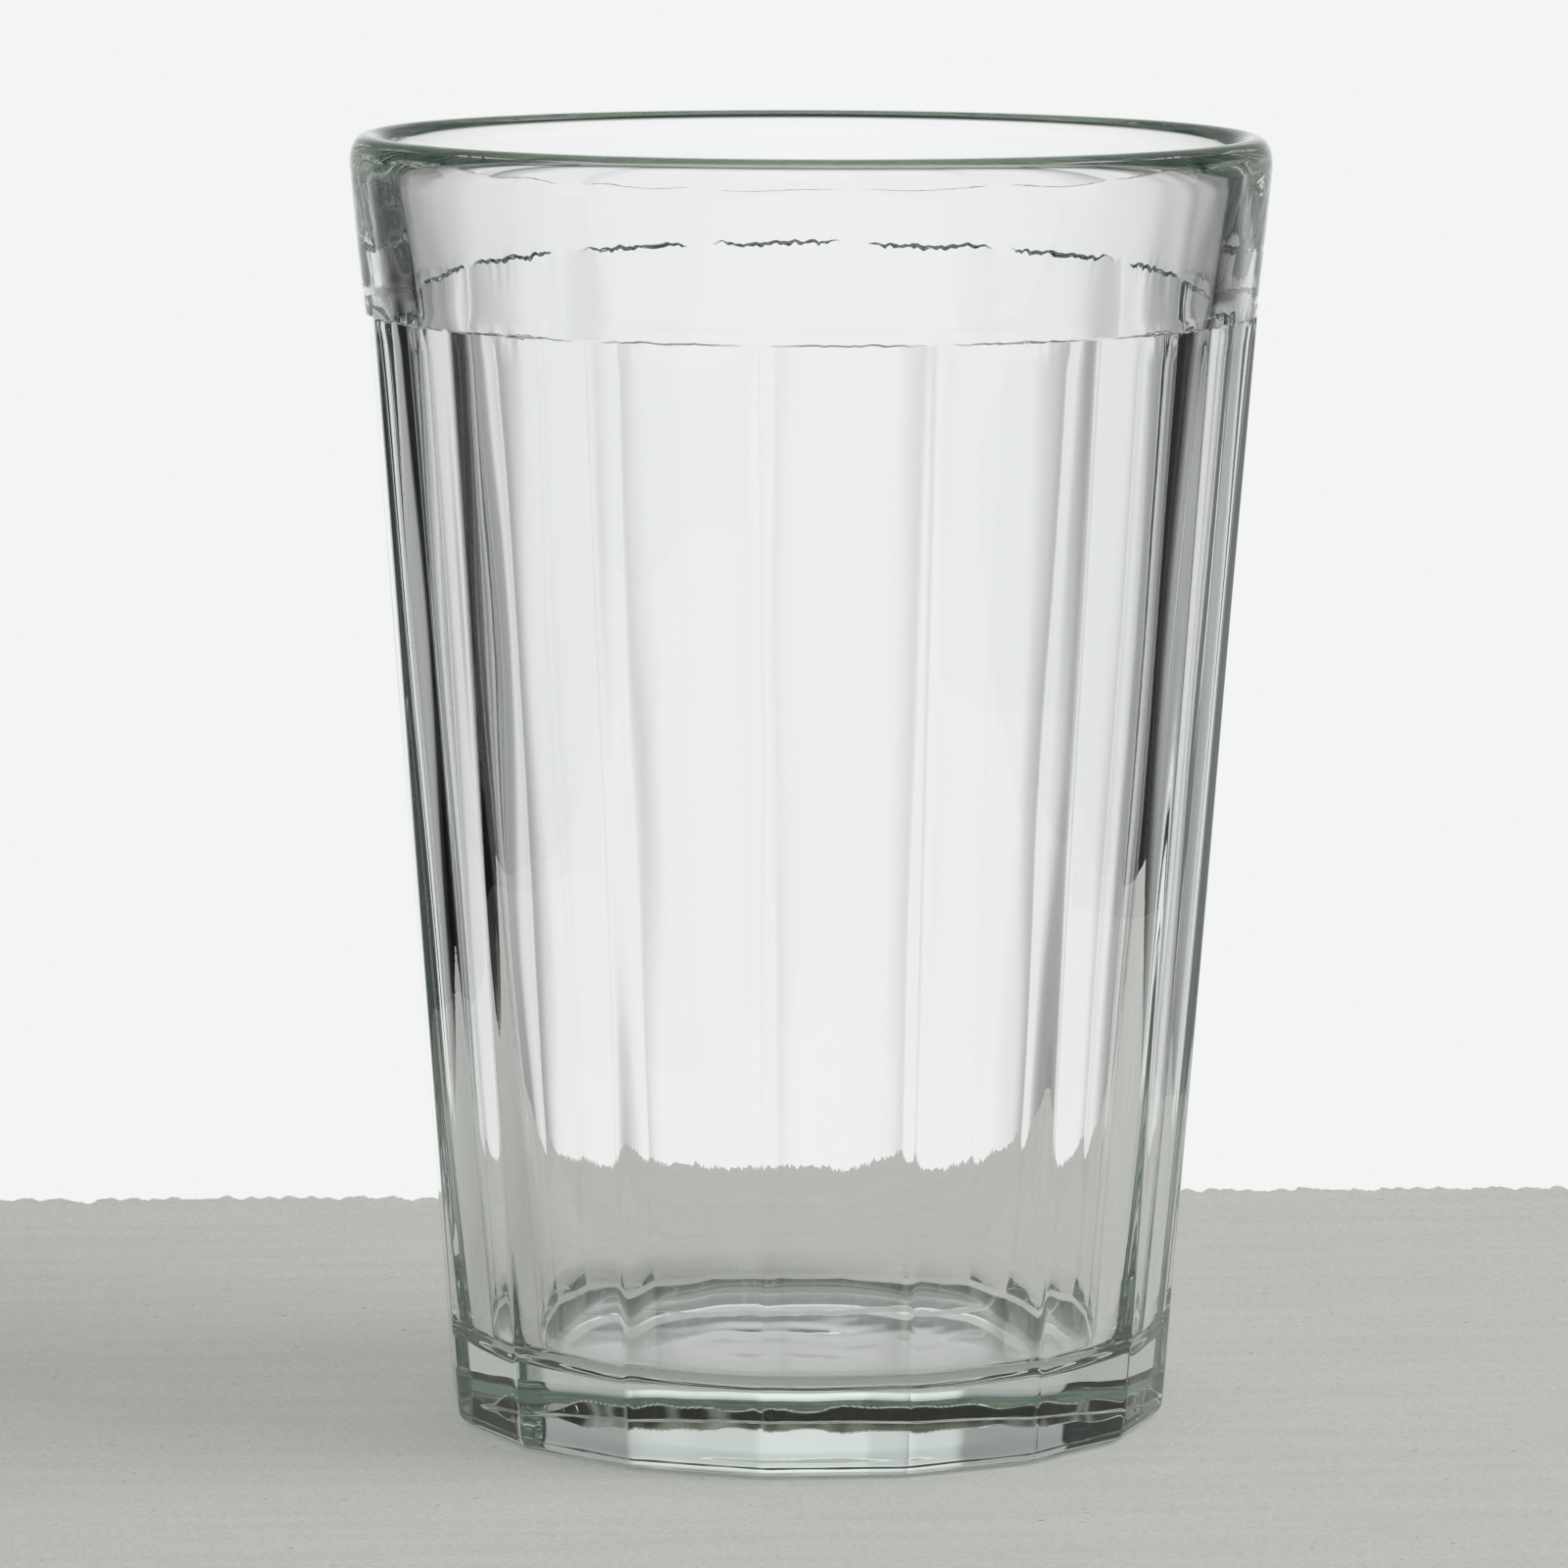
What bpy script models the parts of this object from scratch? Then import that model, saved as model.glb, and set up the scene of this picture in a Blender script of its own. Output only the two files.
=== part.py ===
"""Faceted tea glass: one piece of pressed glass, in metres, +Z up.

The origin lies on the table, under the middle of the glass. The glass is a loft of level
sections, which runs from the middle of the bowl's floor up the inside, over the lip, down the
outside and in under the foot to the middle of the underside. The sections are round, except on
the body, where they have flats with narrow arrises between them.
"""

import math

import bmesh
import bpy

# Outside
HEIGHT = 0.1025
RIM_RADIUS = 0.0365  # the widest ring, just under the lip
FOOT_RADIUS = 0.0286  # over the arrises, at the table
BAND_HEIGHT = 0.0140  # the smooth band under the lip, lip included
BAND_SLOPE = 0.0945  # how far the band draws in for each unit of height
LIP_RISE = 0.0024  # from the widest ring up to the top of the lip
LIP_OUTER_RUN = 0.0015  # from the widest ring in to the top of the lip

# Facets
FACET_COUNT = 16
ARRIS_LAND = 0.0006  # the narrow round land left between two flats
SHOULDER_DROP = 0.0003  # from the band's lower edge down to the top of the flats
SHOULDER_ROUND = 0.0002  # the softened lower edge of the band

# Inside
WALL_TOP = 0.0034  # behind the middle of a flat, at its top
WALL_FOOT = 0.0040  # the same taper of wall carried down to the table
HEEL_HEIGHT = 0.0250  # below this the wall grows thicker
HEEL_SPREAD = 0.0295  # how much thicker for each unit of height
HEEL_BLEND = 0.0030
NECK_DROP = 0.0135  # from the top of the lip down to where the mouth starts to lean out
NECK_SPREAD = 0.108  # how far it leans out for each unit of height
NECK_BLEND = 0.0032
LIP_INNER_DROP = 0.0022  # from the top of the lip down to where its inside is rounded
BASE_THICKNESS = 0.0058  # in the middle of the floor
FLOOR_DISH = 0.0001  # how far the floor rises from its middle to its fillet
FILLET_RUN = 0.0060
FILLET_RISE = 0.0024

# Underside
FOOT_EDGE = 0.0009  # the rounding between the body and the table
BEARING_WIDTH = 0.0058  # the flat ring that the glass stands on
RECESS_DEPTH = 0.0004  # the shallow recess inside that ring
RECESS_EASE = 0.0030  # how far in from the ring the recess reaches its depth

# Smoothness of the loft
FLAT_COLUMNS = 4
ARC_STEPS = 5
BEND_STEPS = 6
SHARP_ANGLE = math.radians(8)

ROUND, FACETED = 0.0, 1.0
HALF_FACET = math.pi / FACET_COUNT
HALF_LAND = 0.5 * ARRIS_LAND / RIM_RADIUS
HALF_FLAT = HALF_FACET - HALF_LAND

BAND_BOTTOM = HEIGHT - BAND_HEIGHT
BAND_LOWER_RADIUS = RIM_RADIUS - (BAND_HEIGHT - LIP_RISE) * BAND_SLOPE
FACET_TOP = BAND_BOTTOM - SHOULDER_DROP
LIP_TOP_RADIUS = RIM_RADIUS - LIP_OUTER_RUN
NECK_HEIGHT = HEIGHT - NECK_DROP
MOUTH_TOP = HEIGHT - LIP_INNER_DROP


def arris_radius(height):
    """Radius over the arrises of the tapered body at a height."""
    return FOOT_RADIUS + (BAND_LOWER_RADIUS - FOOT_RADIUS) * height / FACET_TOP


def bend(height, start, blend):
    """Height above a bend's start, eased in over the blend."""
    return blend * math.log1p(math.exp((height - start) / blend))


def bore_radius(height):
    """Radius of the bowl's wall above its fillet: a taper, a thicker heel, a mouth that leans out."""
    wall = WALL_FOOT + (WALL_TOP - WALL_FOOT) * height / FACET_TOP
    heel = HEEL_SPREAD * bend(-height, -HEEL_HEIGHT, HEEL_BLEND)
    mouth = NECK_SPREAD * bend(height, NECK_HEIGHT, NECK_BLEND)
    return arris_radius(height) * math.cos(HALF_FLAT) - wall - heel + mouth


def curve(start, corner, end, steps):
    """Points of a rounded corner from start to end, both included, as (radius, height)."""
    points = []
    for step in range(steps + 1):
        share = step / steps
        weights = ((1 - share) ** 2, 2 * share * (1 - share), share**2)
        radius = sum(w * p[0] for w, p in zip(weights, (start, corner, end)))
        height = sum(w * p[1] for w, p in zip(weights, (start, corner, end)))
        points.append((radius, height))
    return points


def bowl_profile():
    """(radius, height) from the floor's edge up the inside to the rounding of the lip."""
    floor_edge = BASE_THICKNESS + FLOOR_DISH
    fillet_top = floor_edge + FILLET_RISE
    floor_radius = bore_radius(fillet_top) - FILLET_RUN
    points = []
    for step in range(ARC_STEPS + 1):
        turn = math.pi / 2 * step / ARC_STEPS
        radius = floor_radius + FILLET_RUN * math.sin(turn)
        points.append((radius, floor_edge + FILLET_RISE * (1 - math.cos(turn))))
    heel_top = HEEL_HEIGHT + 3 * HEEL_BLEND
    neck_bottom = NECK_HEIGHT - 3 * NECK_BLEND
    for low, high in ((fillet_top, heel_top), (neck_bottom, MOUTH_TOP)):
        for step in range(BEND_STEPS + 1):
            height = low + (high - low) * step / BEND_STEPS
            if height > fillet_top:
                points.append((bore_radius(height), height))
    return points


def lip_profile(mouth, mouth_slope):
    """(radius, height) over the lip, from inside the mouth to the widest ring."""
    inner_corner = (mouth[0] + mouth_slope * LIP_INNER_DROP, HEIGHT)
    top = (LIP_TOP_RADIUS, HEIGHT)
    outer_corner = (RIM_RADIUS, HEIGHT)
    widest = (RIM_RADIUS, HEIGHT - LIP_RISE)
    inside = curve(mouth, inner_corner, top, ARC_STEPS)
    outside = curve(top, outer_corner, widest, ARC_STEPS)
    return inside[1:] + outside[1:]


def foot_profile():
    """(radius, height, share of faceting) from the foot's rounding in under the glass."""
    side = arris_radius(FOOT_EDGE)
    ring_outer = FOOT_RADIUS - FOOT_EDGE
    edge = curve((side, FOOT_EDGE), (FOOT_RADIUS, 0.0), (ring_outer, 0.0), ARC_STEPS - 1)
    sections = [(radius, height, FACETED) for radius, height in edge]
    ring_inner = ring_outer - BEARING_WIDTH
    for step in range(ARC_STEPS + 1):
        share = step / ARC_STEPS
        height = RECESS_DEPTH * share * share * (3 - 2 * share)
        sections.append((ring_inner - RECESS_EASE * share, height, ROUND))
    return sections


def glass_sections():
    """Every section of the loft, in order, as (radius, height, share of faceting)."""
    inside = bowl_profile()
    last, before = inside[-1], inside[-2]
    mouth_slope = (last[0] - before[0]) / (last[1] - before[1])
    sections = [(radius, height, ROUND) for radius, height in inside]
    sections += [(radius, height, ROUND) for radius, height in lip_profile(last, mouth_slope)]
    softened = BAND_LOWER_RADIUS + SHOULDER_ROUND * BAND_SLOPE
    sections.append((softened, BAND_BOTTOM + SHOULDER_ROUND, ROUND))
    sections.append((BAND_LOWER_RADIUS, FACET_TOP, FACETED))
    return sections + foot_profile()


def column_angles():
    """Angle of each column about +Z, with its offset from the middle of its facet."""
    columns = []
    for facet in range(FACET_COUNT):
        middle = -math.pi / 2 + 2 * HALF_FACET * facet
        for step in range(FLAT_COLUMNS + 1):
            offset = HALF_FLAT * (2 * step / FLAT_COLUMNS - 1)
            columns.append((middle + offset, offset))
    return columns


def add_section(mesh, columns, radius, height, faceting):
    """One closed ring of vertices. A flat lies at the same distance all along its width."""
    ring = []
    for angle, offset in columns:
        flat = math.cos(HALF_FLAT) / math.cos(offset)
        reach = radius * (1 - faceting + faceting * flat)
        ring.append(mesh.verts.new((reach * math.cos(angle), reach * math.sin(angle), height)))
    return ring


def close_end(mesh, ring, height, upward):
    """A fan from the middle of the floor or of the underside to its first ring."""
    middle = mesh.verts.new((0.0, 0.0, height))
    for here, there in zip(ring, ring[1:] + ring[:1]):
        mesh.faces.new((middle, here, there) if upward else (middle, there, here))


def build_glass():
    """The closed solid of the glass as one mesh."""
    mesh = bmesh.new()
    columns = column_angles()
    rings = [add_section(mesh, columns, *section) for section in glass_sections()]
    for inner, outer in zip(rings, rings[1:]):
        for i in range(len(columns)):
            j = (i + 1) % len(columns)
            mesh.faces.new((inner[i], outer[i], outer[j], inner[j]))
    close_end(mesh, rings[0], BASE_THICKNESS, True)
    close_end(mesh, rings[-1], RECESS_DEPTH, False)
    data = bpy.data.meshes.new("glass_body")
    mesh.to_mesh(data)
    mesh.free()
    data.shade_smooth()
    data.set_sharp_from_angle(angle=SHARP_ANGLE)
    return data


def glass_material():
    """Clear soda-lime glass with a faint grey-green tint."""
    material = bpy.data.materials.new("pressed_glass")
    material.use_nodes = True
    shader = material.node_tree.nodes["Principled BSDF"]
    shader.inputs["Base Color"].default_value = (0.93, 0.97, 0.94, 1.0)
    shader.inputs["Roughness"].default_value = 0.02
    shader.inputs["Metallic"].default_value = 0.0
    shader.inputs["Transmission Weight"].default_value = 1.0
    shader.inputs["IOR"].default_value = 1.52
    return material


for old in list(bpy.data.objects):
    bpy.data.objects.remove(old, do_unlink=True)

glass = bpy.data.objects.new("glass_body", build_glass())
glass.data.materials.append(glass_material())
bpy.context.scene.collection.objects.link(glass)
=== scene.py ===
"""Faceted tea glass: its fine surface, its glass, and the small studio it is seen in.

Lengths are in metres. The glass stands on the origin, +Z up, with the middle of a flat at -Y.
"""

import math

import bpy
import numpy as np
from mathutils import Matrix, Vector


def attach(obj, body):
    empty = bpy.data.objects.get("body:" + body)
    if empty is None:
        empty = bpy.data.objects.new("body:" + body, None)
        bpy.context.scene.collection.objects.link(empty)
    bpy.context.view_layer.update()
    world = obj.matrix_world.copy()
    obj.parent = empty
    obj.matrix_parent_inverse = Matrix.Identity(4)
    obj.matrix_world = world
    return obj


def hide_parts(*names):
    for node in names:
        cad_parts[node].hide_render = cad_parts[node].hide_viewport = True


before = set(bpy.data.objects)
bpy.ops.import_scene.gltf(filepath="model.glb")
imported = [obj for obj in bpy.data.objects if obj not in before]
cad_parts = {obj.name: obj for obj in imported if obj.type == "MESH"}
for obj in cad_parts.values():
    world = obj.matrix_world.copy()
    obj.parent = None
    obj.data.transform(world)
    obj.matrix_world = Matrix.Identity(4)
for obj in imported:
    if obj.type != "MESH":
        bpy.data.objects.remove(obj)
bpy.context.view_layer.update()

# Outside of the glass
HEIGHT = 0.1025
RIM_RADIUS = 0.0365  # the widest ring, just under the lip
FOOT_RADIUS = 0.0287  # over the arrises, at the table
BAND_HEIGHT = 0.0140  # the smooth band under the lip, lip included
BAND_SLOPE = 0.0945  # how far the band draws in for each unit of height
LIP_RISE = 0.0024  # from the widest ring up to the top of the lip
LIP_OUTER_RUN = 0.0015  # from the widest ring in to the top of the lip

# Facets
FACET_COUNT = 16
ARRIS_SHARPNESS = 400  # the power that joins two flats: higher is sharper
SHOULDER_DROP = 0.00018  # from the band's lower edge down to the top of the flats
SHOULDER_STEP = -0.0001  # from the band's lower edge in to the arrises
SHOULDER_ROUND = 0.00008  # the softened lower edge of the band

# Inside of the glass
BORE_FOOT_RADIUS = 0.0241  # the bowl's straight wall, carried down to the table
BORE_TAPER = 0.083  # how far it widens for each unit of height
HEEL_HEIGHT = 0.0250  # below this the wall grows thicker
HEEL_SPREAD = 0.0295  # how much thicker for each unit of height
HEEL_BLEND = 0.0030
NECK_HEIGHT = 0.0890  # where the wall of the mouth starts to lean out
NECK_SPREAD = 0.108  # how far it leans out for each unit of height
NECK_BLEND = 0.0032
LIP_INNER_DROP = 0.0022  # from the top of the lip down to where its inside is rounded
BASE_THICKNESS = 0.0058  # in the middle of the floor
FLOOR_DISH = 0.0001  # how far the floor rises from its middle to its fillet
FILLET_RUN = 0.0060
FILLET_RISE = 0.0024

# Underside
FOOT_EDGE = 0.0014  # the rounding between the body and the table
BEARING_WIDTH = 0.0058  # the flat ring that the glass stands on
RECESS_DEPTH = 0.0003  # the shallow recess inside that ring
RECESS_EASE = 0.012  # how far in from the ring the recess reaches its depth
SCAR_HEIGHT = 0.0011  # the wrinkle across the underside, left by the cut end of the gob
SCAR_PLACE = (0.003, 0.0135)  # its middle, to the right of the axis and behind it
SCAR_HALF_LENGTH = 0.0170
SCAR_FRONT = 0.0014  # the length of its gentle slope
SCAR_BACK = 0.0004  # the length of its steep slope
SCAR_UNEVEN = 0.25  # how far its height comes and goes along it
SCAR_LONG_SWAY = 0.0018  # the length, for each radian, of its slow swaying
SCAR_SHORT_SWAY = 0.0008  # the same for the quick one
SCAR_LEAST = 0.01  # the least share of its height, which keeps its slope finite

# Unevenness of pressed glass
FLOOR_WAVE = 0.00002  # in the middle of the floor
FLOOR_WAVE_PLACE = 0.001  # how far back from the axis its middle lies
FLOOR_WAVE_NARROW = 0.0007  # the length, for each radian, of the bent waves
FLOOR_WAVE_WIDE = 0.0011  # the same for the slanted ones
FLOOR_WAVE_BEND = 0.003  # the length, for each radian, of the swaying of the bent ones
FLOOR_WAVE_SLANT = 0.004  # how far the slanted ones run from side to side for each radian
FLOOR_WAVE_WIDTH = 0.010  # half the width of the patch that has these waves
FLOOR_WAVE_DEPTH = 0.005  # half its depth, from front to back
FLOOR_WAVE_TOP = 0.001  # over the floor's middle; the wall above it has none of them
WAVE_SEED = 11
WAVE_COUNT = 14  # waves in one sum
WAVE_UPRIGHT = (20.0, 160.0)  # radians in a metre of height, least and most
OUTER_WAVE = 0.000012  # on the faceted outside
INNER_WAVE = 0.000012  # on the wall and the floor of the bowl
FLAT_SPREAD = 0.00004  # how far single flats stand in or out
SHOULDER_WAVE = 0.00003  # how far the top of the flats wanders up and down
SHOULDER_ROUGH = 0.00009  # how ragged it is at the back
SHOULDER_CALM = 0.2  # the share of that raggedness at the front
SHOULDER_CALM_SIDE = -0.2  # the sine of the angle up to which it is the front
SHOULDER_WORN_SIDE = 0.5  # and from which it is the back
SHOULDER_UNEVEN = 0.3  # how far its drop comes and goes round the glass
SHOULDER_WAVES = (30, 260)  # waves round the glass, least and most

# Smoothness of the mesh
FLOOR_RINGS = 29
FILLET_RINGS = 20
WALL_RINGS = 90
LIP_RINGS = 16
BAND_RINGS = 12
SHOULDER_RINGS = 15
BODY_RINGS = 40
FOOT_RINGS = 12
UNDERSIDE_RINGS = 120
ARRIS_COLUMNS = 8  # steps to each side of an arris
FLAT_COLUMNS = 33  # columns between these
ARRIS_ZONE = 0.07  # radians over which the steps to one side are spread
ARRIS_CROWDING = 1.4  # the power that draws them together at the arris
QUARTER_ROUND = 0.5523  # the reach of a curve's handles that makes it a quarter of an ellipse

# Glass
GLASS_IOR = 1.52
ABSORPTION_COLOUR = (0.38, 0.72, 0.50)
ABSORPTION_DENSITY = 4.0
GLASS_DULL = 0.008  # the roughness of the dullest patches
DULL_SCALE = 90.0
PEEL_SCALE = 450.0  # the orange peel that pressing leaves
PEEL_STRETCH = (1.0, 1.0, 0.5)
PEEL_DEPTH = 0.000002
NOISE_LOW = 0.35  # most of a noise lies between these two values
NOISE_HIGH = 0.65

# The camera, fitted to the rim and the foot in the picture
CAMERA_AZIMUTH = math.radians(-4.75)
CAMERA_DISTANCE = 0.6922
CAMERA_HEIGHT = 0.1409
CAMERA_PITCH = math.radians(7.431)
CAMERA_YAW = math.radians(0.163)
CAMERA_ROLL = math.radians(0.20)
FOCAL_PIXELS = 8921.0  # the focal length in pixels, for a picture of this width
IMAGE_PIXELS = 1600.0
SENSOR = 36.0
CAMERA_CLIP = 0.01

# The sheet of paper under the glass
SHEET_HALF = 0.20  # half its width
SHEET_FRONT = 0.60  # from the axis to its front edge
SHEET_BACK = 0.098  # from the axis to its torn back edge
SHEET_TURN = math.radians(3.9)  # off the line of sight
SHEET_DROP = 0.0001  # it lies this far under the foot
SHEET_COLOUR = (0.540, 0.543, 0.505)
SHEET_GRAIN = 0.08  # how far grain and streaks lighten or darken it
SHEET_GRAIN_SCALE = 2200.0
SHEET_STREAK_SCALE = 300.0
SHEET_STREAK_STRETCH = (0.10, 1.0, 1.0)
SHEET_STREAK_SHARE = 0.3  # the rest is grain
SHEET_SPECK_SCALE = 1300.0
SHEET_SPECK_LEAST = 0.83  # the noise starts to be a speck at this value
SHEET_SPECK_EASE = 0.03
SHEET_SPECK_SHADE = 0.6  # how dark a speck is, as a share of the sheet's colour
SHEET_ROUGHNESS = (0.85, 0.95)
SHEET_ROUGHNESS_SCALE = 14.0
SHEET_RELIEF = 0.00005
SHEET_RELIEF_SCALE = 900.0
SHEET_RAGGED = 0.0013  # how far its torn edge goes in and out
SHEET_EDGE_POINTS = 1200
SHEET_SEED = 5

# The screen round the glass, white behind it and dark aside, in degrees off the line of sight
BACKGROUND = (0.896, 0.910, 0.912)  # the white, which the camera sees behind the glass too
SKY_FILL = (0.71, 0.715, 0.725)  # the even light that falls on the sheet
SCREEN_RADIUS = 3.0
SCREEN_STEP = 3.0  # from one column or row of its mesh to the next
SCREEN_POLE = 87.0  # its first and last rows
SCREEN_GAIN = 1.055  # makes up for what the glass takes away from the white
SCREEN_WHITE = 6.0  # it is white up to here
SCREEN_DIM = 25.0  # here it has lost a share of its light
SCREEN_LOSS = 0.56  # that share
SCREEN_EDGE = 36.0  # here it starts to end
SCREEN_LEFT_DARK = 43.0  # here it has ended, on the left and on the right
SCREEN_RIGHT_DARK = 50.0
SCREEN_CORNER_WHITE = 12.0  # between these two its lower corners lose a share more
SCREEN_CORNER_DIM = 26.0
SCREEN_CORNER_LOSS = 0.8
SCREEN_CORNER_TOP = -4.0  # elevations between which the corners set in
SCREEN_CORNER_FULL = -9.0
SCREEN_FRONT_DARK = 60.0  # from here on it grows lighter again, up to the camera's side
SCREEN_FRONT_LIT = 180.0
SCREEN_FRONT = 0.20  # its level there, as a share of the white
SCREEN_SIDE = 0.006  # its level aside
SCREEN_HIGH_WHITE = 10.0  # elevations between which its upper part loses a share
SCREEN_HIGH_DIM = 24.0
SCREEN_HIGH_LOSS = 0.3
SCREEN_TOP_WHITE = 38.0  # elevations at which it gives way to the dim ceiling
SCREEN_TOP_DARK = 52.0
SCREEN_TOP_BLACK = 66.0
SCREEN_TOP = (0.17, 0.18, 0.14)  # the ceiling's colour
SCREEN_LOW_WHITE = -20.0  # elevations at which it gives way to the dark below
SCREEN_LOW_DARK = -30.0
SCREEN_LOW = 0.015  # the level of that dark

# The lamp, and how far light is followed
LAMP_PLACE = (1.0, -0.30, 0.70)
LAMP_AIM = (0.0, 0.0, 0.03)
LAMP_SIZE = 0.9
LAMP_POWER = 6.8
LIGHT_BOUNCES = 32  # light runs a long way round inside a wall of glass

HALF_FACET = math.pi / FACET_COUNT
BAND_BOTTOM = HEIGHT - BAND_HEIGHT
BAND_LOWER_RADIUS = RIM_RADIUS - (BAND_HEIGHT - LIP_RISE) * BAND_SLOPE
FACET_TOP = BAND_BOTTOM - SHOULDER_DROP
FACET_TOP_RADIUS = BAND_LOWER_RADIUS - SHOULDER_STEP
LIP_TOP_RADIUS = RIM_RADIUS - LIP_OUTER_RUN
MOUTH_TOP = HEIGHT - LIP_INNER_DROP
waves = np.random.default_rng(WAVE_SEED)
flat_shift = waves.uniform(-FLAT_SPREAD, FLAT_SPREAD, FACET_COUNT)


def ease(value, start, end):
    """0 below start, 1 above end, and smooth between them."""
    share = np.clip((value - start) / (end - start), 0.0, 1.0)
    return share * share * (3 - 2 * share)


def arris_radius(height):
    """Radius over the arrises of the tapered body at a height."""
    return FOOT_RADIUS + (FACET_TOP_RADIUS - FOOT_RADIUS) * height / FACET_TOP


def bend(height, start, blend):
    """Height above a bend's start, eased in over the blend."""
    return blend * np.logaddexp(0.0, (height - start) / blend)


def bore_radius(height):
    """Radius of the bowl's wall above its fillet: a taper, a thicker heel, a mouth that leans out."""
    mouth = NECK_SPREAD * bend(height, NECK_HEIGHT, NECK_BLEND)
    heel = HEEL_SPREAD * bend(-height, -HEEL_HEIGHT, HEEL_BLEND)
    return BORE_FOOT_RADIUS + BORE_TAPER * height + mouth - heel


def curve(start, corner, end, steps):
    """Points of a rounded corner from start to end, both included."""
    share = np.linspace(0.0, 1.0, steps + 1)[:, None]
    start, corner, end = (np.array(point) for point in (start, corner, end))
    return (1 - share) ** 2 * start + 2 * share * (1 - share) * corner + share**2 * end


def bowl_profile():
    """(radius, height) from near the middle of the floor up to the rounding of the lip."""
    fillet_top = BASE_THICKNESS + FLOOR_DISH + FILLET_RISE
    floor_radius = bore_radius(fillet_top) - FILLET_RUN
    radius = np.linspace(0.0, floor_radius, FLOOR_RINGS + 1)[1:]
    dish = FLOOR_DISH * (radius / floor_radius) ** 2
    floor = np.stack((radius, BASE_THICKNESS + dish), axis=1)
    start = floor[-1]
    end = np.array((bore_radius(fillet_top), fillet_top))
    step = 0.0001
    lean = (bore_radius(fillet_top + step) - bore_radius(fillet_top)) / step
    rise = 2 * FLOOR_DISH / floor_radius
    first = start + QUARTER_ROUND * FILLET_RUN * np.array((1.0, rise))
    second = end - QUARTER_ROUND * FILLET_RISE * np.array((lean, 1.0))
    share = np.linspace(0.0, 1.0, FILLET_RINGS + 1)[1:, None]
    fillet = (
        (1 - share) ** 3 * start
        + 3 * share * (1 - share) ** 2 * first
        + 3 * share**2 * (1 - share) * second
        + share**3 * end
    )
    height = np.linspace(fillet_top, MOUTH_TOP, WALL_RINGS + 1)[1:]
    wall = np.stack((bore_radius(height), height), axis=1)
    return np.concatenate((floor, fillet, wall))


def lip_profile(inside):
    """(radius, height) from the end of the flare over the lip and down the band."""
    step = inside[-1] - inside[-2]
    slope = step[0] / step[1]
    top = (LIP_TOP_RADIUS, HEIGHT)
    corner = (inside[-1][0] + slope * LIP_INNER_DROP, HEIGHT)
    inner = curve(inside[-1], corner, top, LIP_RINGS)
    widest = (RIM_RADIUS, HEIGHT - LIP_RISE)
    outer = curve(top, (RIM_RADIUS, HEIGHT), widest, LIP_RINGS)
    share = np.linspace(0.0, 1.0, BAND_RINGS + 1)[1:-1, None]
    lower = (BAND_LOWER_RADIUS + SHOULDER_ROUND * BAND_SLOPE, BAND_BOTTOM + SHOULDER_ROUND)
    band = (1 - share) * np.array(widest) + share * np.array(lower)
    return np.concatenate((inner[1:], outer[1:], band))


def faceted(angle, radius):
    """Outline of sixteen flats whose arrises, before they are rounded, reach the radius."""
    middle = -math.pi / 2 + 2 * HALF_FACET * np.arange(FACET_COUNT)
    distance = np.reshape(radius, (-1, 1)) * math.cos(HALF_FACET) + flat_shift
    toward = np.maximum(np.cos(angle[:, None] - middle), 0.0) / distance
    largest = toward.max(axis=1)
    total = ((toward / largest[:, None]) ** ARRIS_SHARPNESS).sum(axis=1)
    return 1.0 / (largest * total ** (1.0 / ARRIS_SHARPNESS))


def columns():
    """Angles of the columns about +Z, closer together at the arrises."""
    near = ARRIS_ZONE * np.linspace(0.0, 1.0, ARRIS_COLUMNS + 1)[:-1] ** ARRIS_CROWDING
    flat = np.linspace(ARRIS_ZONE, 2 * HALF_FACET - ARRIS_ZONE, FLAT_COLUMNS)
    far = 2 * HALF_FACET - near[:0:-1]
    one = np.concatenate((near, flat, far))
    starts = -math.pi / 2 + (2 * np.arange(FACET_COUNT) - 1) * HALF_FACET
    return (starts[:, None] + one).ravel()


def ripple(angle, height, amount, fewest=3, most=40):
    """Unevenness over the surface, as a sum of waves that go so many times round the glass."""
    total = np.zeros(np.broadcast(angle, height).shape)
    for _ in range(WAVE_COUNT):
        around = waves.integers(fewest, most)
        along = waves.uniform(*WAVE_UPRIGHT)
        phase = waves.uniform(0.0, 2 * math.pi, 2)
        total += np.cos(around * angle + phase[0]) * np.cos(along * height + phase[1])
    return amount * total / math.sqrt(WAVE_COUNT / 4)


def underside(radius, angle, edge):
    """Height of the recess under the glass, with its wrinkle."""
    recess = RECESS_DEPTH * ease(edge - radius, 0.0, RECESS_EASE)
    across = radius * np.cos(angle) - SCAR_PLACE[0]
    along = radius * np.sin(angle) - SCAR_PLACE[1]
    sway = 0.6 * np.sin(across / SCAR_LONG_SWAY + 0.6) + 0.4 * np.sin(across / SCAR_SHORT_SWAY + 2.0)
    fade = 1 - ease(np.abs(across), 0.5 * SCAR_HALF_LENGTH, SCAR_HALF_LENGTH)
    size = np.maximum(fade * (1 + SCAR_UNEVEN * sway), SCAR_LEAST)
    ramp = np.clip(1 + along / (SCAR_FRONT * size), 0.0, 1.0) * (1 - ease(along, 0.0, SCAR_BACK))
    return recess + SCAR_HEIGHT * size * ramp


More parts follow.
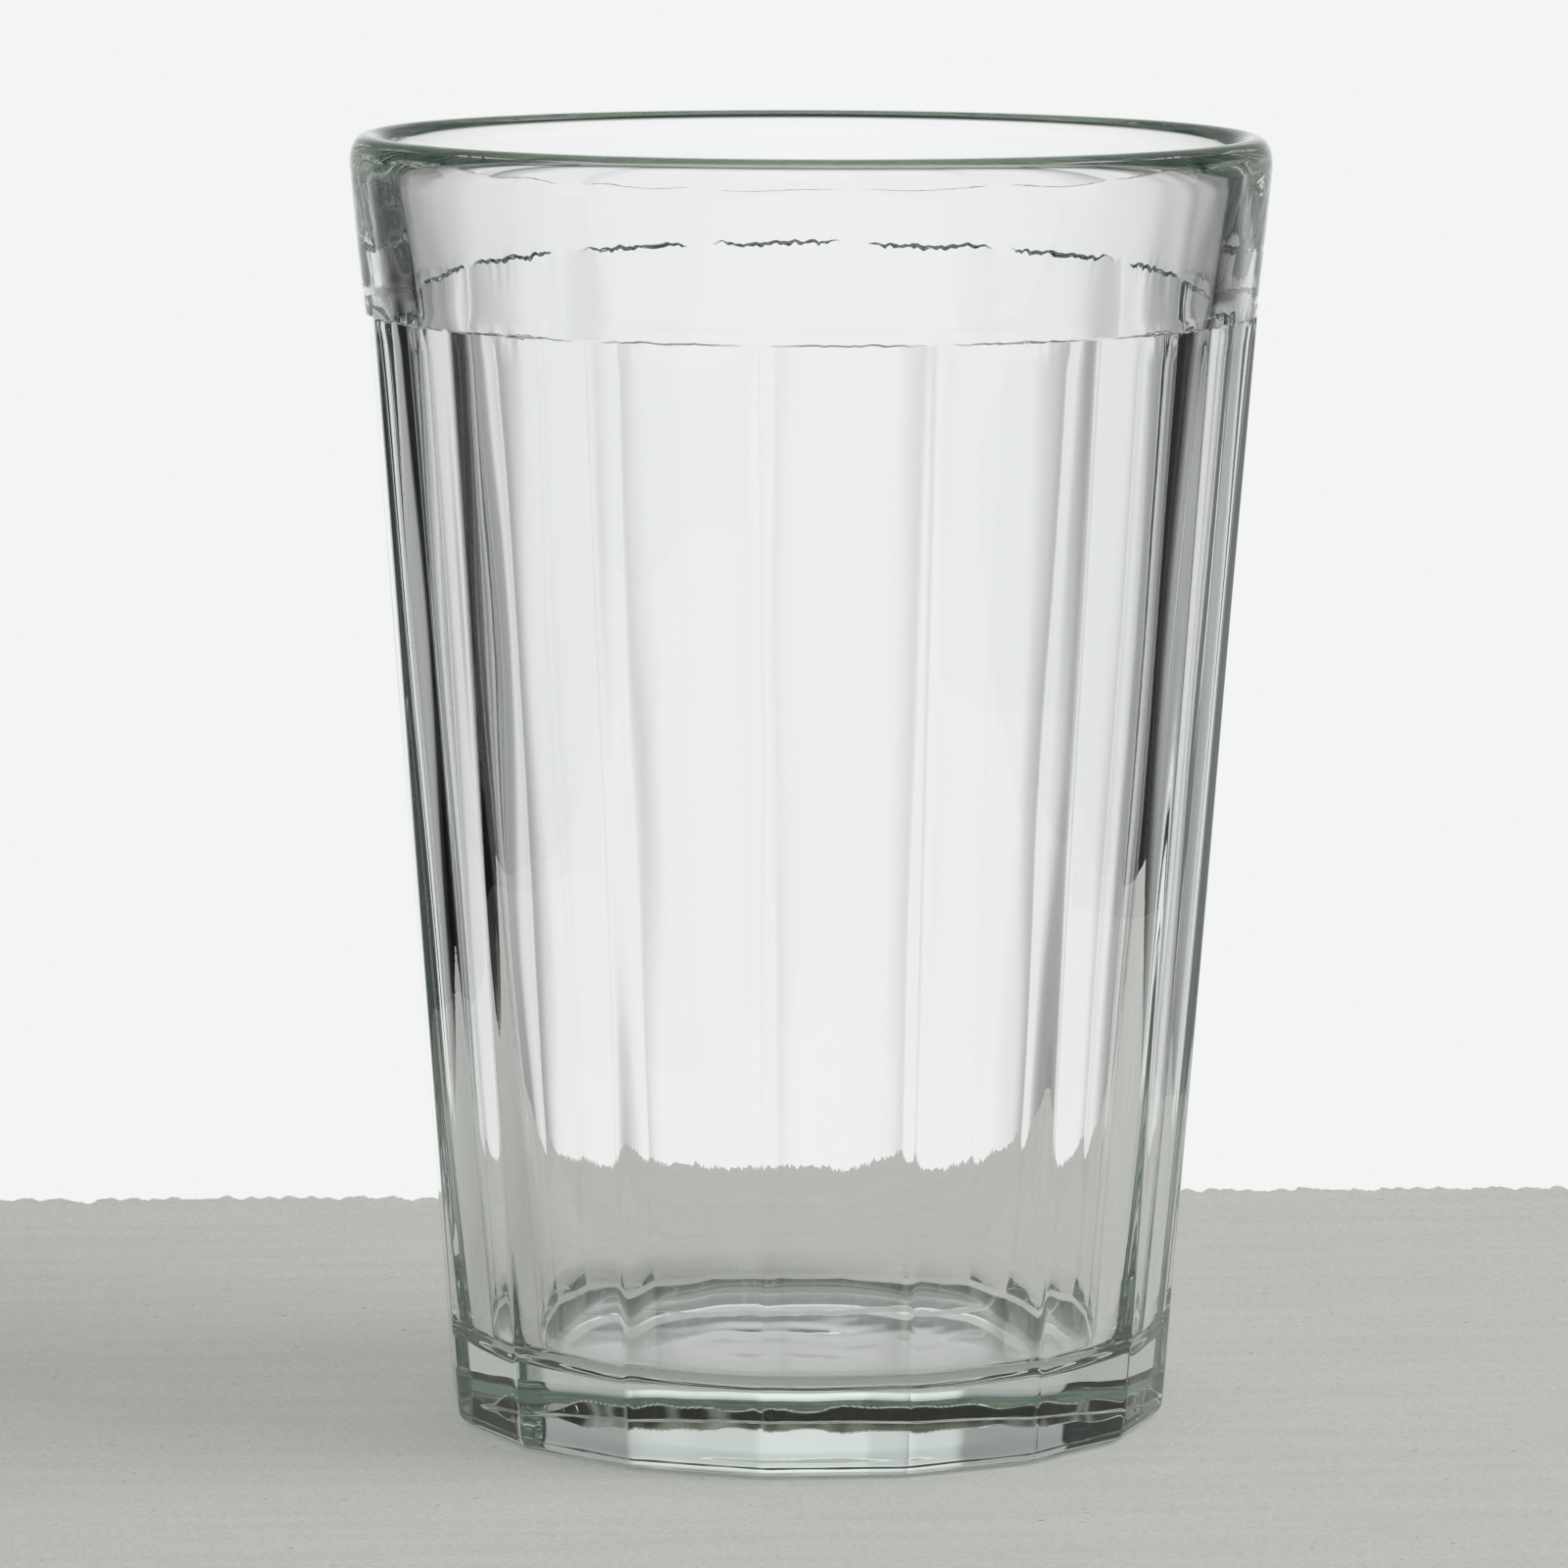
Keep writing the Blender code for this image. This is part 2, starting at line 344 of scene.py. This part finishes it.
def floor_waves(radius, angle):
    """Unevenness in the middle of the floor, drawn out from side to side."""
    across = radius * np.cos(angle)
    along = radius * np.sin(angle) - FLOOR_WAVE_PLACE
    bent = np.sin(along / FLOOR_WAVE_NARROW + 2 * np.sin(across / FLOOR_WAVE_BEND))
    slanted = np.sin(along / FLOOR_WAVE_WIDE - across / FLOOR_WAVE_SLANT)
    patch = np.exp(-((across / FLOOR_WAVE_WIDTH) ** 2) - (along / FLOOR_WAVE_DEPTH) ** 2)
    return FLOOR_WAVE * (bent + slanted) * patch


def outer_rings(angle):
    """Rings of the faceted outside, from the shoulder down and in under the foot."""
    rings = []
    wander = ripple(angle, np.array(BAND_BOTTOM), SHOULDER_WAVE, *SHOULDER_WAVES)
    back = ease(np.sin(angle), SHOULDER_CALM_SIDE, SHOULDER_WORN_SIDE)
    worn = SHOULDER_CALM + (1 - SHOULDER_CALM) * back
    rough = np.convolve(waves.normal(0.0, SHOULDER_ROUGH, angle.size), np.ones(3) / 2, "same")
    wander += worn * rough
    uneven = 1 + worn * ripple(angle, np.array(0.0), SHOULDER_UNEVEN, *SHOULDER_WAVES)
    depth = np.maximum((SHOULDER_DROP + SHOULDER_ROUND) * uneven, SHOULDER_ROUND)
    smooth = BAND_LOWER_RADIUS + (SHOULDER_ROUND + wander) * BAND_SLOPE
    flat = faceted(angle, arris_radius(FACET_TOP + wander))
    for share in np.linspace(0.0, 1.0, SHOULDER_RINGS):
        blend = ease(share, 0.0, 1.0)
        height = BAND_BOTTOM + SHOULDER_ROUND + wander - depth * share
        rings.append((smooth * (1 - blend) + flat * blend, height))
    for height in np.linspace(FACET_TOP, FOOT_EDGE, BODY_RINGS + 1)[1:]:
        rings.append((faceted(angle, arris_radius(height)), np.full(angle.shape, height)))
    side = (arris_radius(FOOT_EDGE), FOOT_EDGE)
    ring_outer = FOOT_RADIUS - FOOT_EDGE
    for radius, height in curve(side, (FOOT_RADIUS, 0.0), (ring_outer, 0.0), FOOT_RINGS)[1:]:
        rings.append((faceted(angle, radius), np.full(angle.shape, height)))
    ring_inner = ring_outer - BEARING_WIDTH
    for share in np.linspace(0.0, 1.0, UNDERSIDE_RINGS + 1)[:-1]:
        radius = np.full(angle.shape, ring_inner * (1 - share))
        rings.append((radius, underside(radius, angle, ring_inner)))
    return rings


def build_glass():
    """The closed surface of the glass as one mesh."""
    angle = columns()
    inside = bowl_profile()
    lip = lip_profile(inside)
    even = np.ones(angle.shape)
    inner = [(radius * even, height * even) for radius, height in inside]
    smooth = [(radius * even, height * even) for radius, height in lip]
    outer = outer_rings(angle)
    radius = np.array([ring[0] for ring in inner + smooth + outer])
    height = np.array([ring[1] for ring in inner + smooth + outer])
    bowl = np.zeros(radius.shape[0])
    bowl[: len(inner)] = 1.0
    body = np.zeros(radius.shape[0])
    body[len(inner) + len(smooth) :] = 1.0
    radius = radius + ripple(angle, height, INNER_WAVE) * bowl[:, None]
    on_floor = bowl[:, None] * (height < BASE_THICKNESS + FLOOR_WAVE_TOP)
    height = height + floor_waves(radius, angle) * on_floor
    lower = np.clip(height / FOOT_EDGE, 0.0, 1.0)
    radius = radius + ripple(angle, height, OUTER_WAVE) * body[:, None] * lower
    points = np.stack((radius * np.cos(angle), radius * np.sin(angle), height), axis=-1)
    count, around = radius.shape
    corner = np.arange(count * around).reshape(count, around)
    following = np.roll(corner, -1, axis=1)
    quads = np.stack((corner[:-1], corner[1:], following[1:], following[:-1]), axis=-1)
    middle = count * around
    ends = [(0.0, 0.0, BASE_THICKNESS), (0.0, 0.0, float(height[-1].mean()))]
    fans = [(middle, int(i), int(j)) for i, j in zip(corner[0], following[0])]
    fans += [(middle + 1, int(j), int(i)) for i, j in zip(corner[-1], following[-1])]
    data = bpy.data.meshes.new("glass")
    data.from_pydata(points.reshape(-1, 3).tolist() + ends, [], quads.reshape(-1, 4).tolist() + fans)
    data.shade_smooth()
    glass = bpy.data.objects.new("glass", data)
    bpy.context.scene.collection.objects.link(glass)
    return glass


def noise_node(tree, scale, detail, stretch=(1.0, 1.0, 1.0)):
    """A noise texture over the object, with the number of grains in a metre as its scale."""
    place = tree.nodes.new("ShaderNodeTexCoord")
    drawn = tree.nodes.new("ShaderNodeMapping")
    drawn.inputs["Scale"].default_value = stretch
    noise = tree.nodes.new("ShaderNodeTexNoise")
    noise.inputs["Scale"].default_value = scale
    noise.inputs["Detail"].default_value = detail
    tree.links.new(place.outputs["Object"], drawn.inputs["Vector"])
    tree.links.new(drawn.outputs["Vector"], noise.inputs["Vector"])
    return noise.outputs["Fac"]


def remap(tree, value, low, high):
    """The middle part of a noise, spread from low to high."""
    node = tree.nodes.new("ShaderNodeMapRange")
    node.inputs["From Min"].default_value = NOISE_LOW
    node.inputs["From Max"].default_value = NOISE_HIGH
    node.inputs["To Min"].default_value = low
    node.inputs["To Max"].default_value = high
    tree.links.new(value, node.inputs["Value"])
    return node.outputs["Result"]


def bump(tree, height, distance, shader):
    """Fine relief on a shader, as deep as the distance."""
    node = tree.nodes.new("ShaderNodeBump")
    node.inputs["Distance"].default_value = distance
    tree.links.new(height, node.inputs["Height"])
    tree.links.new(node.outputs["Normal"], shader.inputs["Normal"])


def glass_material():
    """Clear pressed glass: a little orange peel, faint dull patches, a green tint in its depth."""
    material = bpy.data.materials.new("pressed_glass")
    material.use_nodes = True
    tree = material.node_tree
    shader = tree.nodes["Principled BSDF"]
    shader.inputs["Base Color"].default_value = (1.0, 1.0, 1.0, 1.0)
    shader.inputs["Transmission Weight"].default_value = 1.0
    shader.inputs["IOR"].default_value = GLASS_IOR
    dull = remap(tree, noise_node(tree, DULL_SCALE, detail=3.0), 0.0, GLASS_DULL)
    tree.links.new(dull, shader.inputs["Roughness"])
    bump(tree, noise_node(tree, PEEL_SCALE, detail=2.0, stretch=PEEL_STRETCH), PEEL_DEPTH, shader)
    volume = tree.nodes.new("ShaderNodeVolumeAbsorption")
    volume.inputs["Color"].default_value = (*ABSORPTION_COLOUR, 1.0)
    volume.inputs["Density"].default_value = ABSORPTION_DENSITY
    output = next(node for node in tree.nodes if node.type == "OUTPUT_MATERIAL")
    tree.links.new(volume.outputs["Volume"], output.inputs["Volume"])
    return material


def stage_object(name, vertices, faces, material):
    """A piece of the studio, which is not part of the glass."""
    data = bpy.data.meshes.new(name)
    data.from_pydata(vertices, [], faces)
    data.materials.append(material)
    obj = bpy.data.objects.new(name, data)
    bpy.context.scene.collection.objects.link(obj)
    return obj


def specks(tree):
    """1 in the few small spots where a noise is at its highest, and 0 elsewhere."""
    node = tree.nodes.new("ShaderNodeMapRange")
    node.inputs["From Min"].default_value = SHEET_SPECK_LEAST
    node.inputs["From Max"].default_value = SHEET_SPECK_LEAST + SHEET_SPECK_EASE
    tree.links.new(noise_node(tree, SHEET_SPECK_SCALE, detail=0.0), node.inputs["Value"])
    return node.outputs["Result"]


def blend_colours(tree, share, first, second):
    """A mix of two colours, each of which is a colour or another node's output."""
    node = tree.nodes.new("ShaderNodeMix")
    node.data_type = "RGBA"
    tree.links.new(share, node.inputs["Factor"])
    for name, colour in (("A", first), ("B", second)):
        if isinstance(colour, bpy.types.NodeSocket):
            tree.links.new(colour, node.inputs[name])
        else:
            node.inputs[name].default_value = (*colour, 1.0)
    return node.outputs["Result"]


def paper_material():
    """Grey paper with a fine grain, faint streaks from side to side and a few dark specks."""
    material = bpy.data.materials.new("paper")
    material.use_nodes = True
    tree = material.node_tree
    shader = tree.nodes["Principled BSDF"]
    shader.inputs["Specular IOR Level"].default_value = 0.0
    colour = np.array(SHEET_COLOUR)
    grain = remap(tree, noise_node(tree, SHEET_GRAIN_SCALE, detail=2.0), 0.0, 1.0)
    streak = noise_node(tree, SHEET_STREAK_SCALE, detail=3.0, stretch=SHEET_STREAK_STRETCH)
    streak = remap(tree, streak, 0.0, 1.0)
    both = tree.nodes.new("ShaderNodeMix")
    both.inputs["Factor"].default_value = SHEET_STREAK_SHARE
    tree.links.new(grain, both.inputs["A"])
    tree.links.new(streak, both.inputs["B"])
    dark, light = colour * (1 - SHEET_GRAIN), colour * (1 + SHEET_GRAIN)
    tint = blend_colours(tree, both.outputs["Result"], dark, light)
    tint = blend_colours(tree, specks(tree), tint, SHEET_SPECK_SHADE * colour)
    tree.links.new(tint, shader.inputs["Base Color"])
    rough = remap(tree, noise_node(tree, SHEET_ROUGHNESS_SCALE, detail=2.0), *SHEET_ROUGHNESS)
    tree.links.new(rough, shader.inputs["Roughness"])
    bump(tree, noise_node(tree, SHEET_RELIEF_SCALE, detail=3.0), SHEET_RELIEF, shader)
    return material


def add_sheet():
    """A grey sheet under the glass, whose torn back edge lies a little way behind it."""
    turn = Matrix.Rotation(CAMERA_AZIMUTH + SHEET_TURN, 4, "Z")
    corners = [(-SHEET_HALF, -SHEET_FRONT), (SHEET_HALF, -SHEET_FRONT)]
    across = np.linspace(SHEET_HALF, -SHEET_HALF, SHEET_EDGE_POINTS)
    torn = np.random.default_rng(SHEET_SEED).normal(0.0, SHEET_RAGGED, SHEET_EDGE_POINTS)
    jitter = np.convolve(torn, np.ones(3) / 3, "same")
    corners += [(x, SHEET_BACK + dy) for x, dy in zip(across, jitter)]
    vertices = [turn @ Vector((x, y, -SHEET_DROP)) for x, y in corners]
    stage_object("sheet", vertices, [tuple(range(len(vertices)))], paper_material())


def screen_light(azimuth, elevation):
    """Colour of the screen in a direction from the glass, both angles in degrees."""
    off = np.abs(azimuth)
    dark = np.where(azimuth < 0, SCREEN_LEFT_DARK, SCREEN_RIGHT_DARK)
    behind = 1 - SCREEN_LOSS * ease(off, SCREEN_WHITE, SCREEN_DIM)
    behind = behind * (1 - SCREEN_HIGH_LOSS * ease(elevation, SCREEN_HIGH_WHITE, SCREEN_HIGH_DIM))
    behind = behind * (1 - ease(off, SCREEN_EDGE, dark))
    corner = ease(-elevation, -SCREEN_CORNER_TOP, -SCREEN_CORNER_FULL)
    corner = corner * ease(off, SCREEN_CORNER_WHITE, SCREEN_CORNER_DIM)
    behind = behind * (1 - SCREEN_CORNER_LOSS * corner)
    front = SCREEN_SIDE + SCREEN_FRONT * ease(off, SCREEN_FRONT_DARK, SCREEN_FRONT_LIT)
    below = ease(-elevation, -SCREEN_LOW_WHITE, -SCREEN_LOW_DARK)
    level = (behind + front) * (1 - below) + SCREEN_LOW * below
    level = SCREEN_GAIN * level[..., None] * np.array(BACKGROUND)
    above = ease(elevation, SCREEN_TOP_WHITE, SCREEN_TOP_DARK)[..., None]
    top = np.array(SCREEN_TOP) * (1 - ease(elevation, SCREEN_TOP_DARK, SCREEN_TOP_BLACK))[..., None]
    return (1 - above) * level + above * top


def screen_material():
    """A glow in the screen's own colours to the eye, and an even light to the sheet."""
    material = bpy.data.materials.new("screen")
    material.use_nodes = True
    tree = material.node_tree
    tree.nodes.clear()
    output = tree.nodes.new("ShaderNodeOutputMaterial")
    glow = tree.nodes.new("ShaderNodeEmission")
    light = tree.nodes.new("ShaderNodeAttribute")
    light.attribute_name = "light"
    tree.links.new(light.outputs["Color"], glow.inputs["Color"])
    fill = tree.nodes.new("ShaderNodeEmission")
    fill.inputs["Color"].default_value = (*SKY_FILL, 1.0)
    path = tree.nodes.new("ShaderNodeLightPath")
    mix = tree.nodes.new("ShaderNodeMixShader")
    tree.links.new(path.outputs["Diffuse Depth"], mix.inputs[0])
    tree.links.new(glow.outputs["Emission"], mix.inputs[1])
    tree.links.new(fill.outputs["Emission"], mix.inputs[2])
    tree.links.new(mix.outputs["Shader"], output.inputs["Surface"])
    material.cycles.emission_sampling = "NONE"
    return material


def add_screen(camera):
    """A round screen about the glass, white behind it and shading off to the sides and the top.

    It is carried by the camera, as a light tent on a turntable is, and only the glass shows it.
    """
    azimuth = np.arange(-180.0, 180.0 + SCREEN_STEP / 2, SCREEN_STEP)
    elevation = np.arange(-SCREEN_POLE, SCREEN_POLE + SCREEN_STEP / 2, SCREEN_STEP)
    across, up = np.meshgrid(azimuth, elevation)
    turn, tilt = np.radians(across), np.radians(up)
    place = np.stack(
        (np.sin(turn) * np.cos(tilt), np.sin(tilt), -np.cos(turn) * np.cos(tilt)), axis=-1
    )
    place = place * SCREEN_RADIUS - np.array((0.0, 0.0, CAMERA_DISTANCE))
    corner = np.arange(across.size).reshape(across.shape)
    faces = np.stack((corner[:-1, :-1], corner[:-1, 1:], corner[1:, 1:], corner[1:, :-1]), axis=-1)
    screen = stage_object(
        "screen", place.reshape(-1, 3).tolist(), faces.reshape(-1, 4).tolist(), screen_material()
    )
    colour = screen_light(across, up).reshape(-1, 3)
    light = screen.data.attributes.new("light", "FLOAT_COLOR", "POINT")
    light.data.foreach_set("color", np.insert(colour, 3, 1.0, axis=1).ravel())
    screen.parent = camera
    screen.visible_camera = False
    screen.visible_diffuse = False
    screen.visible_shadow = False


def add_lamp():
    """A broad soft lamp to the right, which the glass does not mirror."""
    data = bpy.data.lights.new("window", "AREA")
    data.shape = "RECTANGLE"
    data.size = LAMP_SIZE
    data.size_y = LAMP_SIZE
    data.energy = LAMP_POWER
    lamp = bpy.data.objects.new("window", data)
    lamp.location = LAMP_PLACE
    aim = Vector(LAMP_AIM) - Vector(lamp.location)
    lamp.rotation_euler = aim.to_track_quat("-Z", "Y").to_euler()
    lamp.visible_glossy = False
    lamp.visible_transmission = False
    bpy.context.scene.collection.objects.link(lamp)


def add_camera():
    """The camera that took the picture, placed by the fit."""
    data = bpy.data.cameras.new("camera")
    data.sensor_width = SENSOR
    data.lens = FOCAL_PIXELS / IMAGE_PIXELS * SENSOR
    data.clip_start = CAMERA_CLIP
    camera = bpy.data.objects.new("camera", data)
    turn = Matrix.Rotation(CAMERA_AZIMUTH, 4, "Z")
    camera.location = turn @ Vector((0.0, -CAMERA_DISTANCE, CAMERA_HEIGHT))
    heading = Matrix.Rotation(CAMERA_AZIMUTH + CAMERA_YAW, 4, "Z")
    tilt = Matrix.Rotation(math.pi / 2 - CAMERA_PITCH, 4, "X")
    roll = Matrix.Rotation(CAMERA_ROLL, 4, "Z")
    camera.rotation_euler = (heading @ tilt @ roll).to_euler()
    bpy.context.scene.collection.objects.link(camera)
    bpy.context.scene.camera = camera
    return camera


def add_world():
    """Pale to the eye, and a dimmer even light on matt surfaces."""
    world = bpy.data.worlds.new("studio")
    world.use_nodes = True
    tree = world.node_tree
    seen = tree.nodes["Background"]
    seen.inputs["Color"].default_value = (*BACKGROUND, 1.0)
    fill = tree.nodes.new("ShaderNodeBackground")
    fill.inputs["Color"].default_value = (*SKY_FILL, 1.0)
    path = tree.nodes.new("ShaderNodeLightPath")
    mix = tree.nodes.new("ShaderNodeMixShader")
    tree.links.new(path.outputs["Is Diffuse Ray"], mix.inputs[0])
    tree.links.new(seen.outputs["Background"], mix.inputs[1])
    tree.links.new(fill.outputs["Background"], mix.inputs[2])
    tree.links.new(mix.outputs["Shader"], tree.nodes["World Output"].inputs["Surface"])
    bpy.context.scene.world = world


bpy.context.scene.view_settings.view_transform = "Standard"
cycles = bpy.context.scene.cycles
cycles.max_bounces = LIGHT_BOUNCES
cycles.transmission_bounces = LIGHT_BOUNCES
cycles.glossy_bounces = LIGHT_BOUNCES
cycles.blur_glossy = 0.0  # so that light on the sheet passes clear through the glass

glass = build_glass()
glass.data.materials.append(glass_material())
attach(glass, "root")
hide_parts("glass_body")

add_sheet()
add_screen(add_camera())
add_lamp()
add_world()
